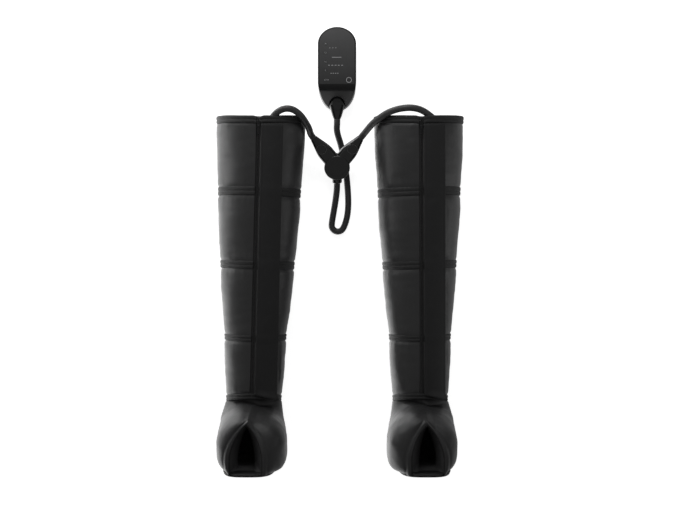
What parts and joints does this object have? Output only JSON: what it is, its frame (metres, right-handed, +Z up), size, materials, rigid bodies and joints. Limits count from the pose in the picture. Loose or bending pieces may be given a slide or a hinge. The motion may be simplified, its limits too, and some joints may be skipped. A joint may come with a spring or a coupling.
{
  "type": "compression therapy pump",
  "caption": "Air compression control unit with its hose, a Y hub and two zip-up leg sleeves of air chambers, laid flat.",
  "frame": {"origin": "on the floor under the middle of the outfit as it lies flat, its box taken without the hoses and their plugs", "axes": "+Y from the toes to the control unit, +Z up from the floor, +X to the right seen from above"},
  "size_m": [0.6814, 1.1999, 0.307],
  "materials": {
    "case_plastic": "satin moulded",
    "panel_gloss": "satin gloss",
    "light_lens": "translucent",
    "rubber": "matte",
    "steel": "plain",
    "board": "solder mask",
    "cell_wrap": "shrink wrap",
    "motor_can": "plain",
    "inner_plastic": "moulded",
    "valve_body": "moulded",
    "plug_plastic": "satin gloss",
    "hose_skin": "matte",
    "sleeve_fabric": "coated satin nylon",
    "band_fabric": "coated nylon tape",
    "zip_plastic": "coil",
    "zip_metal": "black"
  },
  "bodies": {
    "outfit": {"pump_top_shell": "case_plastic", "pump_base_shell": "case_plastic", "hose_socket": "case_plastic", "charge_inlet": "case_plastic", "face_panel": "panel_gloss", "indicator_lights": "light_lens", "rubber_feet": "rubber", "case_screws": "steel", "hub_screws": "steel", "circuit_board": "board", "battery_pack": "cell_wrap", "compressor_motor": "motor_can", "compressor_head": "inner_plastic", "valve_manifold": "inner_plastic", "solenoid_valves": "valve_body", "pump_plug": "plug_plastic", "hub_upper_cover": "plug_plastic", "hub_lower_cover": "plug_plastic", "hub_collar": "plug_plastic", "pump_hose": "hose_skin", "left_boot_plug": "plug_plastic", "left_hose_gland": "plug_plastic", "left_boot_hose": "hose_skin", "left_thigh_chamber": "sleeve_fabric", "left_knee_chamber": "sleeve_fabric", "left_calf_chamber": "sleeve_fabric", "left_ankle_chamber": "sleeve_fabric", "left_foot_chamber": "sleeve_fabric", "left_zone_bands": "band_fabric", "left_top_binding": "band_fabric", "left_front_flap": "band_fabric", "left_sole": "band_fabric", "left_zipper_track": "zip_plastic", "right_boot_plug": "plug_plastic", "right_hose_gland": "plug_plastic", "right_boot_hose": "hose_skin", "right_thigh_chamber": "sleeve_fabric", "right_knee_chamber": "sleeve_fabric", "right_calf_chamber": "sleeve_fabric", "right_ankle_chamber": "sleeve_fabric", "right_foot_chamber": "sleeve_fabric", "right_zone_bands": "band_fabric", "right_top_binding": "band_fabric", "right_front_flap": "band_fabric", "right_sole": "band_fabric", "right_zipper_track": "zip_plastic"},
    "start_button_body": {"start_button": "panel_gloss"},
    "time_key_body": {"time_key": "panel_gloss"},
    "zone_key_body": {"zone_key": "panel_gloss"},
    "level_key_body": {"level_key": "panel_gloss"},
    "link_key_body": {"link_key": "panel_gloss"},
    "plug_latch_body": {"pump_plug_latch": "plug_plastic"},
    "crank_body": {"compressor_crank": "steel"},
    "left_plug_button_body": {"left_plug_button": "plug_plastic"},
    "left_slider_body": {"left_zipper_slider": "zip_metal"},
    "left_pull_body": {"left_zipper_pull": "zip_metal"},
    "right_plug_button_body": {"right_plug_button": "plug_plastic"},
    "right_slider_body": {"right_zipper_slider": "zip_metal"},
    "right_pull_body": {"right_zipper_pull": "zip_metal"}
  },
  "joints": [
    {"name": "start_button_press", "type": "slide", "parent": "outfit", "child": "start_button_body", "axis": [0, 0, -1], "range_m": [0, 0.0008], "stiffness_N_per_m": 1500, "springref_m": -0.0005},
    {"name": "time_key_press", "type": "slide", "parent": "outfit", "child": "time_key_body", "axis": [0, 0, -1], "range_m": [0, 0.0006], "stiffness_N_per_m": 1200, "springref_m": -0.0005},
    {"name": "zone_key_press", "type": "slide", "parent": "outfit", "child": "zone_key_body", "axis": [0, 0, -1], "range_m": [0, 0.0006], "stiffness_N_per_m": 1200, "springref_m": -0.0005},
    {"name": "level_key_press", "type": "slide", "parent": "outfit", "child": "level_key_body", "axis": [0, 0, -1], "range_m": [0, 0.0006], "stiffness_N_per_m": 1200, "springref_m": -0.0005},
    {"name": "link_key_press", "type": "slide", "parent": "outfit", "child": "link_key_body", "axis": [0, 0, -1], "range_m": [0, 0.0006], "stiffness_N_per_m": 1200, "springref_m": -0.0005},
    {"name": "plug_latch_press", "type": "slide", "parent": "outfit", "child": "plug_latch_body", "axis": [0, 0, -1], "range_m": [0, 0.002], "stiffness_N_per_m": 1500, "springref_m": -0.0005},
    {"name": "compressor_crank_turn", "type": "hinge", "parent": "outfit", "child": "crank_body", "pos_m": [-0.0288, 0.474, 0.0258], "axis": [0, 1, 0], "continuous": true},
    {"name": "left_plug_button_press", "type": "slide", "parent": "outfit", "child": "left_plug_button_body", "axis": [0, 0.4226, -0.9063], "range_m": [0, 0.002], "stiffness_N_per_m": 1500, "springref_m": -0.0005},
    {"name": "left_zipper_slide", "type": "slide", "parent": "outfit", "child": "left_slider_body", "axis": [-0.0284, -0.9985, -0.0462], "range_m": [0, 0.695]},
    {"name": "left_zipper_pull_turn", "type": "hinge", "parent": "left_slider_body", "child": "left_pull_body", "pos_m": [-0.21761, 0.31543, 0.1912], "axis": [-0.9996, 0.0284, 0], "range_deg": [0, 150]},
    {"name": "right_plug_button_press", "type": "slide", "parent": "outfit", "child": "right_plug_button_body", "axis": [0, 0.4226, -0.9063], "range_m": [0, 0.002], "stiffness_N_per_m": 1500, "springref_m": -0.0005},
    {"name": "right_zipper_slide", "type": "slide", "parent": "outfit", "child": "right_slider_body", "axis": [0.0066, -0.9989, -0.0462], "range_m": [0, 0.695]},
    {"name": "right_zipper_pull_turn", "type": "hinge", "parent": "right_slider_body", "child": "right_pull_body", "pos_m": [0.21714, 0.31542, 0.1912], "axis": [-1, -0.0066, 0], "range_deg": [0, 150]}
  ]
}
